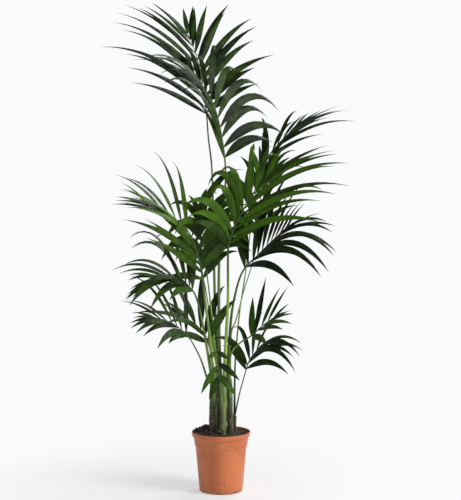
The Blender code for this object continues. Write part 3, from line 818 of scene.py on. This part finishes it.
def make_leaves(leaf_top, leaf_under):
    surroundings = Surroundings()
    for stem in STEMS:
        foot, crown = stem_ends(stem)
        surroundings.add_rod(stem.name, [foot, crown], [stem.foot_radius, stem.crown_radius], 12)
    routes = {}
    for frond in FRONDS:
        route = smooth_route(stalk_points(frond), SETTLING_STEPS)
        radii = [stalk_radius(frond, k / (len(route) - 1)) for k in range(len(route))]
        surroundings.add_rod(frond.name, route, radii, 6)
        routes[frond.name] = route
    blank = leaflet_blank()
    for finish in (leaf_top, leaf_under):
        blank.data.materials.append(finish)
    number = 0
    for frond in FRONDS:
        leaves = []
        route = routes[frond.name]
        for leaflet in leaflet_plan(frond, route, SETTLING_STEPS * (2 + frond.blade)):
            root, heading, face, length, width, droop = leaflet
            way, sections = settled_heading(surroundings, frond.name, *leaflet)
            surroundings.add("leaflets_" + frond.name, *passing_strip(sections, 0.0, 1))
            surroundings.add(frond.name, *passing_strip(sections[:2], 0.0))
            number += 1
            settled = (root, way, face, length, width, droop)
            leaves.append(bent_leaflet(blank, "leaflet", settled, number, frond.brightness))
        blade = join_pieces(frond.name + "_leaflets", leaves)
        make_active(blade)
        bpy.ops.object.shade_smooth_by_angle(angle=math.radians(65))
        stands_for(blade, frond.name)
    bpy.data.objects.remove(blank, do_unlink=True)


# Finishes


def add_node(tree, kind, label, **settings):
    node = tree.nodes.new(kind)
    node.label = label
    for setting, value in settings.items():
        setattr(node, setting, value)
    return node


def add_math(tree, label, operation, first, second=0.0, third=0.0, clamp=False):
    """A Math node whose inputs are sockets or plain numbers."""
    node = add_node(tree, "ShaderNodeMath", label, operation=operation, use_clamp=clamp)
    for slot, value in enumerate((first, second, third)):
        if isinstance(value, (int, float)):
            node.inputs[slot].default_value = value
        else:
            tree.links.new(value, node.inputs[slot])
    return node.outputs[0]


def add_range(tree, label, value, low, high, start=0.0, end=1.0):
    """A smooth ramp from start to end as value goes from low to high."""
    node = add_node(tree, "ShaderNodeMapRange", label, interpolation_type="SMOOTHSTEP")
    tree.links.new(value, node.inputs["Value"])
    for socket, number in (("From Min", low), ("From Max", high), ("To Min", start), ("To Max", end)):
        node.inputs[socket].default_value = number
    return node.outputs["Result"]


def add_mix(tree, label, share, first, second):
    """A colour mix whose inputs are sockets or plain colours."""
    node = add_node(tree, "ShaderNodeMix", label, data_type="RGBA")
    for slot, value in ((0, share), (6, first), (7, second)):
        if isinstance(value, (int, float)):
            node.inputs[slot].default_value = value
        elif isinstance(value, tuple):
            node.inputs[slot].default_value = (*value, 1.0)
        else:
            tree.links.new(value, node.inputs[slot])
    return node.outputs[2]


def add_tint(tree, label, mask, amount, under, over):
    """Lays one colour over another by an amount of the mask."""
    share = add_math(tree, label + " share", "MULTIPLY", mask, amount)
    return add_mix(tree, label, share, under, over)


def height_of(tree, place):
    parts = add_node(tree, "ShaderNodeSeparateXYZ", "Height")
    tree.links.new(place, parts.inputs[0])
    return parts.outputs["Z"]


def mix_shaders(tree, label, share, first, second, output="Material Output"):
    """Sends a mix of two shaders to the output; the share is a socket or a number."""
    mix = add_node(tree, "ShaderNodeMixShader", label)
    if isinstance(share, float):
        mix.inputs[0].default_value = share
    else:
        tree.links.new(share, mix.inputs[0])
    tree.links.new(first.outputs[0], mix.inputs[1])
    tree.links.new(second.outputs[0], mix.inputs[2])
    tree.links.new(mix.outputs[0], tree.nodes[output].inputs["Surface"])


def vary_roughness(tree, shader, mask, spread, least):
    rough = add_math(tree, "Roughness", "MULTIPLY_ADD", mask, spread, least)
    tree.links.new(rough, shader.inputs["Roughness"])


def add_noise(tree, label, place, scale, detail, rough=0.5):
    node = add_node(tree, "ShaderNodeTexNoise", label)
    tree.links.new(place, node.inputs["Vector"])
    node.inputs["Scale"].default_value = scale
    node.inputs["Detail"].default_value = detail
    node.inputs["Roughness"].default_value = rough
    return node.outputs["Fac"]


def new_group(name, inputs, outputs):
    """A shader node group with named value inputs and outputs."""
    group = bpy.data.node_groups.new(name, "ShaderNodeTree")
    for label, default in inputs:
        kind = "NodeSocketVector" if default is None else "NodeSocketFloat"
        socket = group.interface.new_socket(label, in_out="INPUT", socket_type=kind)
        if default is not None:
            socket.default_value = default
    for label in outputs:
        group.interface.new_socket(label, in_out="OUTPUT", socket_type="NodeSocketFloat")
    start = group.nodes.new("NodeGroupInput")
    end = group.nodes.new("NodeGroupOutput")
    return group, start.outputs, end.inputs


def mottling_group():
    """Cloudy patches with finer specks in them, stretched along Z where asked."""
    group, given, out = new_group(
        "Mottling",
        (("Place", None), ("Patch scale", 30.0), ("Speck scale", 240.0), ("Stretch", 1.0)),
        ("Patches", "Specks", "Grain"),
    )
    drawn = add_node(group, "ShaderNodeCombineXYZ", "Drawn out along Z")
    drawn.inputs["X"].default_value = 1.0
    drawn.inputs["Y"].default_value = 1.0
    group.links.new(given["Stretch"], drawn.inputs["Z"])
    scaled = add_node(group, "ShaderNodeVectorMath", "Stretched place", operation="MULTIPLY")
    group.links.new(given["Place"], scaled.inputs[0])
    group.links.new(drawn.outputs["Vector"], scaled.inputs[1])
    wide = add_noise(group, "Patches", scaled.outputs[0], 1.0, 3.0, 0.6)
    fine = add_noise(group, "Specks", scaled.outputs[0], 1.0, 2.0, 0.5)
    for noise_out, scale in ((wide, "Patch scale"), (fine, "Speck scale")):
        group.links.new(given[scale], noise_out.node.inputs["Scale"])
    group.links.new(add_range(group, "Patch edge", wide, 0.36, 0.64), out["Patches"])
    group.links.new(add_range(group, "Speck edge", fine, 0.60, 0.72), out["Specks"])
    group.links.new(fine, out["Grain"])
    return group


def leaf_lines_group():
    """The rib, the veins beside it and the dry tip of a leaflet, from its own UV map."""
    group, given, out = new_group(
        "Leaflet lines", (("Veins", 9.0), ("Rib width", 0.10)), ("Rib", "Veins", "Edge", "Tip")
    )
    place = add_node(group, "ShaderNodeUVMap", "Leaflet UV")
    parts = add_node(group, "ShaderNodeSeparateXYZ", "Across and along")
    group.links.new(place.outputs["UV"], parts.inputs[0])
    centred = add_math(group, "From the rib", "SUBTRACT", parts.outputs["X"], 0.5)
    aside = add_math(group, "Either side", "ABSOLUTE", centred)
    away = add_math(group, "Share of half width", "MULTIPLY", aside, 2.0)
    near = add_math(group, "Rib share", "DIVIDE", away, given["Rib width"], clamp=True)
    group.links.new(add_math(group, "Rib", "SUBTRACT", 1.0, near, clamp=True), out["Rib"])
    turns = add_math(group, "Vein turns", "MULTIPLY", away, given["Veins"])
    radians = add_math(group, "Radians", "MULTIPLY", turns, math.tau)
    wave = add_math(group, "Vein wave", "SINE", radians)
    group.links.new(add_math(group, "Veins", "MULTIPLY_ADD", wave, 0.5, 0.5), out["Veins"])
    group.links.new(add_range(group, "Edge", away, 0.82, 1.0), out["Edge"])
    group.links.new(add_range(group, "Tip", parts.outputs["Y"], 0.955, 1.0), out["Tip"])
    return group


def placed_group(tree, group, **values):
    node = add_node(tree, "ShaderNodeGroup", group.name, node_tree=group)
    for socket, value in values.items():
        slot = node.inputs[socket.replace("_", " ")]
        if isinstance(value, (int, float)):
            slot.default_value = value
        else:
            tree.links.new(value, slot)
    return node.outputs


def add_bump(tree, shader, height, strength, distance):
    bump = add_node(tree, "ShaderNodeBump", "Relief")
    bump.inputs["Strength"].default_value = strength
    bump.inputs["Distance"].default_value = distance
    tree.links.new(height, bump.inputs["Height"])
    tree.links.new(bump.outputs["Normal"], shader.inputs["Normal"])


def new_finish(name, colour):
    """A material with its nodes on, its shader, and Object coordinates."""
    finish = bpy.data.materials.new(name)
    finish.use_nodes = True
    finish.diffuse_color = (*colour, 1.0)
    tree = finish.node_tree
    shader = tree.nodes["Principled BSDF"]
    place = add_node(tree, "ShaderNodeTexCoord", "Place").outputs["Object"]
    return finish, tree, shader, place


def let_light_through(tree, shader, colour, share):
    """Mixes in light that comes through the leaf from its other side."""
    through = add_node(tree, "ShaderNodeBsdfTranslucent", "Light through the leaf")
    tree.links.new(colour, through.inputs["Color"])
    mix_shaders(tree, "Leaf", share, shader, through)


def leaf_finish(name, mottling, lines, dark, light, rib, glow, gloss, shine):
    """Leaflet skin: green from near-black to bright by each leaflet's shade value, which is partly its own
    tone and partly painted light and shade; patches, veins, a paler rib and dry brown tips.
    """
    finish, tree, shader, place = new_finish(name, dark)
    own = add_node(tree, "ShaderNodeAttribute", "Leaflet shade", attribute_name="shade")
    spots = placed_group(tree, mottling, Place=place, Patch_scale=26.0, Speck_scale=420.0)
    ribs = placed_group(tree, lines, Veins=9.0, Rib_width=0.10)
    patch = add_math(tree, "Patch share", "MULTIPLY_ADD", spots["Patches"], 0.22, -0.11)
    level = add_math(tree, "Shade", "ADD", own.outputs["Fac"], patch, clamp=True)
    # Painted light and shade in part: the near-black end stands for leaflets in shade, the bright end for
    # lit ones.
    green = add_mix(tree, "Green", level, dark, light)
    veined = add_tint(tree, "Veins", ribs["Veins"], 0.16, green, rib)
    ribbed = add_tint(tree, "Rib", ribs["Rib"], 0.55, veined, rib)
    edged = add_tint(tree, "Edge", ribs["Edge"], 0.30, ribbed, dark)
    tipped = add_mix(tree, "Dry tip", ribs["Tip"], edged, (0.115, 0.072, 0.030))
    tree.links.new(tipped, shader.inputs["Base Color"])
    vary_roughness(tree, shader, spots["Grain"], 0.16, gloss)
    shader.inputs["Specular IOR Level"].default_value = shine
    dim = tuple(part * 0.08 for part in glow)
    lit = add_mix(tree, "Through colour", level, dim, glow)
    let_light_through(tree, shader, lit, 0.26)
    relief = add_math(tree, "Leaf relief", "MULTIPLY_ADD", ribs["Rib"], 1.5, ribs["Veins"])
    add_bump(tree, shader, relief, 0.35, 0.0006)
    return finish


def stalk_finish(mottling):
    """Yellow-green stalk skin, dim or bright by its frond's brightness (partly painted light and shade),
    brown and scurfy where it clasps the stem, dark along the rachis.
    """
    finish, tree, shader, place = new_finish("stalk skin", (0.16, 0.30, 0.06))
    rise = add_node(tree, "ShaderNodeAttribute", "Rise", attribute_name="rise")
    spots = placed_group(tree, mottling, Place=place, Patch_scale=45.0, Speck_scale=380.0, Stretch=0.12)
    tone = add_node(tree, "ShaderNodeAttribute", "Tone", attribute_name="tone")
    # Dim and bright skins chosen by the frond's brightness: partly painted light and shade, as lit fronds
    # get the bright skin.
    dim_skin = add_mix(tree, "Dim stalk skin", spots["Patches"], (0.038, 0.072, 0.018), (0.110, 0.200, 0.040))
    bright_skin = add_mix(tree, "Bright stalk skin", spots["Patches"], (0.170, 0.320, 0.040), (0.330, 0.520, 0.080))
    brightness_share = add_range(tree, "Frond brightness", tone.outputs["Fac"], 0.05, 0.55)
    fresh = add_mix(tree, "Stalk skin by brightness", brightness_share, dim_skin, bright_skin)
    nearing = add_range(tree, "Toward the blade", rise.outputs["Fac"], 0.55, 1.0)
    upper = add_mix(tree, "Darker above", nearing, fresh, (0.045, 0.105, 0.020))
    ragged = add_math(tree, "Ragged height", "MULTIPLY_ADD", spots["Grain"], 0.10, height_of(tree, place))
    low = add_range(tree, "Sheathed below", ragged, 0.33, 0.43, 1.0, 0.0)
    bark = add_mix(tree, "Sheath skin", spots["Patches"], (0.030, 0.034, 0.014), (0.095, 0.095, 0.042))
    skin = add_mix(tree, "Stalk", low, upper, bark)
    speckled = add_tint(tree, "Scurf", spots["Specks"], 0.35, skin, (0.30, 0.31, 0.16))
    tree.links.new(speckled, shader.inputs["Base Color"])
    vary_roughness(tree, shader, low, 0.25, 0.36)
    add_bump(tree, shader, spots["Grain"], 0.25, 0.0008)
    return finish


def sheath_finish(mottling, name, green_from, green_to, fresh):
    """Fibrous sheaths: brown and dark green patches drawn out along the stem, pale flecks over them."""
    finish, tree, shader, place = new_finish(name, (0.07, 0.065, 0.035))
    broad = placed_group(tree, mottling, Place=place, Patch_scale=75.0, Speck_scale=190.0, Stretch=0.30)
    fibre = placed_group(tree, mottling, Place=place, Patch_scale=420.0, Speck_scale=900.0, Stretch=0.035)
    brown = add_mix(tree, "Browns", broad["Patches"], (0.026, 0.024, 0.011), (0.130, 0.112, 0.045))
    ragged = add_math(tree, "Ragged height", "MULTIPLY_ADD", broad["Patches"], 0.09, height_of(tree, place))
    streaked = add_mix(tree, "Fresh green", fibre["Patches"], fresh, tuple(part * 0.45 for part in fresh))
    climb = add_range(tree, "Up the stem", ragged, green_from, green_to)
    green = add_mix(tree, "Greener above", climb, brown, streaked)
    lined = add_tint(tree, "Fibres", fibre["Patches"], 0.45, green, (0.028, 0.026, 0.014))
    flecked = add_tint(tree, "Flecks", broad["Specks"], 0.85, lined, (0.340, 0.330, 0.140))
    tree.links.new(flecked, shader.inputs["Base Color"])
    vary_roughness(tree, shader, fibre["Grain"], 0.25, 0.52)
    relief = add_math(tree, "Sheath relief", "MULTIPLY_ADD", fibre["Patches"], 0.7, broad["Grain"])
    add_bump(tree, shader, relief, 0.55, 0.0012)
    return finish


def plastic_finish(mottling):
    """Thin moulded plastic: even terracotta, faint clouding, a painted highlight along the top of the rim,
    light scuffs all over, and darker patches toward the foot.
    """
    finish, tree, shader, place = new_finish("terracotta plastic", (0.48, 0.14, 0.056))
    cloud = placed_group(tree, mottling, Place=place, Patch_scale=14.0, Speck_scale=130.0, Stretch=0.6)
    grain = placed_group(tree, mottling, Place=place, Patch_scale=700.0, Speck_scale=1500.0)
    base = add_mix(tree, "Clouding", cloud["Patches"], (0.480, 0.122, 0.036), (0.575, 0.165, 0.052))
    height = height_of(tree, place)
    # Painted highlight: the rounded top of the rim is tinted lighter where the light catches it.
    rim = add_range(tree, "Rim", height, 0.2115, 0.2130)
    rim_highlight = add_tint(tree, "Painted rim highlight", rim, 0.50, base, (0.72, 0.36, 0.21))
    # Darker in patches toward the foot.
    foot = add_range(tree, "Foot", height, 0.0, 0.022, 1.0, 0.0)
    patches = add_math(tree, "Foot patches", "MULTIPLY", cloud["Patches"], 0.55)
    foot_darkening = add_math(tree, "Foot darkening share", "MULTIPLY", foot, patches)
    darker_foot = add_mix(tree, "Darker foot", foot_darkening, rim_highlight, (0.20, 0.10, 0.055))
    scuffed = add_tint(tree, "Scuffs", cloud["Specks"], 0.16, darker_foot, (0.66, 0.34, 0.20))
    tree.links.new(scuffed, shader.inputs["Base Color"])
    vary_roughness(tree, shader, grain["Grain"], 0.14, 0.40)
    add_bump(tree, shader, grain["Grain"], 0.12, 0.0003)
    return finish


def compost_finish(mottling):
    """Damp peat: near-black clods, brown fibre and a few pale bits."""
    finish, tree, shader, place = new_finish("compost", (0.018, 0.012, 0.009))
    clods = placed_group(tree, mottling, Place=place, Patch_scale=130.0, Speck_scale=520.0)
    base = add_mix(tree, "Peat", clods["Patches"], (0.0060, 0.0042, 0.0030), (0.048, 0.030, 0.017))
    flecked = add_tint(tree, "Fibre", clods["Specks"], 0.75, base, (0.150, 0.098, 0.052))
    tree.links.new(flecked, shader.inputs["Base Color"])
    vary_roughness(tree, shader, clods["Grain"], 0.30, 0.62)
    add_bump(tree, shader, clods["Grain"], 0.9, 0.0016)
    return finish


# Studio


FAR_WHITE = (0.955, 0.960, 0.970)


def floor_finish():
    """A pale floor that fades into the studio's even white away from the pot."""
    finish, tree, shader, place = new_finish("studio floor", (0.9, 0.9, 0.9))
    shader.inputs["Base Color"].default_value = (0.86, 0.865, 0.875, 1.0)
    shader.inputs["Roughness"].default_value = 0.85
    far = add_node(tree, "ShaderNodeEmission", "Even white")
    far.inputs["Color"].default_value = (*FAR_WHITE, 1.0)
    reach = add_node(tree, "ShaderNodeVectorMath", "Away from the pot", operation="LENGTH")
    tree.links.new(place, reach.inputs[0])
    fade = add_range(tree, "Fade", reach.outputs["Value"], 0.12, 1.1, 0.50, 1.0)
    mix_shaders(tree, "Floor", fade, shader, far)
    return finish


def add_softbox(name, place, aim, size, power, colour):
    deselect()
    bpy.ops.object.light_add(type="AREA", location=place)
    light = bpy.context.active_object
    light.name = name
    light.rotation_euler = (Vector(aim) - Vector(place)).to_track_quat("-Z", "Y").to_euler()
    light.data.shape = "RECTANGLE"
    light.data.size = size[0]
    light.data.size_y = size[1]
    light.data.energy = power
    light.data.color = colour


def make_studio():
    deselect()
    bpy.ops.mesh.primitive_circle_add(vertices=64, radius=40, fill_type="NGON", location=(0, 0, -0.0002))
    floor = new_piece("studio_floor")
    apply_place(floor)
    paint(floor, floor_finish())
    world = bpy.data.worlds.new("studio")
    bpy.context.scene.world = world
    world.use_nodes = True
    tree = world.node_tree
    soft = tree.nodes["Background"]
    soft.inputs["Color"].default_value = (*FAR_WHITE, 1.0)
    soft.inputs["Strength"].default_value = 0.29
    seen = add_node(tree, "ShaderNodeBackground", "White seen behind")
    seen.inputs["Color"].default_value = (*FAR_WHITE, 1.0)
    path = add_node(tree, "ShaderNodeLightPath", "Light path")
    mix_shaders(tree, "Seen or soft", path.outputs["Is Camera Ray"], soft, seen, "World Output")
    add_softbox("key_softbox", (3.0, -1.5, 2.4), (0.0, 0.0, 0.7), (1.6, 2.2), 150, (1.0, 0.985, 0.96))
    add_softbox("back_softbox", (1.3, 2.2, 2.7), (0.0, 0.0, 1.0), (1.4, 1.4), 45, (1.0, 1.0, 0.98))


def make_camera():
    deselect()
    bpy.ops.object.camera_add(location=(0.034, -4.1, 1.05), rotation=(math.radians(90 - 2.6), 0, 0))
    camera = bpy.context.active_object
    camera.name = "viewpoint"
    camera.data.lens = 82.9
    camera.data.sensor_width = 36
    bpy.context.scene.camera = camera
    bpy.context.scene.view_settings.view_transform = "Standard"


mottling = mottling_group()
lines = leaf_lines_group()
# The near-black dark ends are painted shade in part, and the underside's bright end is kept darker than the
# face's as painted shade.
leaf_top = leaf_finish(
    "leaf face", mottling, lines,
    dark=(0.0025, 0.0075, 0.0018), light=(0.120, 0.275, 0.020), rib=(0.060, 0.125, 0.026),
    glow=(0.105, 0.270, 0.012), gloss=0.28, shine=0.17,
)
leaf_under = leaf_finish(
    "leaf underside", mottling, lines,
    dark=(0.0045, 0.0085, 0.0028), light=(0.056, 0.112, 0.020), rib=(0.045, 0.076, 0.020),
    glow=(0.105, 0.270, 0.012), gloss=0.42, shine=0.08,
)
old_sheath = sheath_finish(mottling, "old sheath", 0.26, 0.44, (0.070, 0.130, 0.030))
fresh_sheath = sheath_finish(mottling, "fresh sheath", 0.19, 0.27, (0.210, 0.340, 0.080))
stalk_skin = stalk_finish(mottling)

make_pot(plastic_finish(mottling))
make_compost(compost_finish(mottling))
for stem in STEMS:
    make_stem(stem, fresh_sheath if stem.name == "stem_front" else old_sheath)
for frond in FRONDS:
    make_stalk(frond, stalk_skin)
make_leaves(leaf_top, leaf_under)
make_studio()
make_camera()
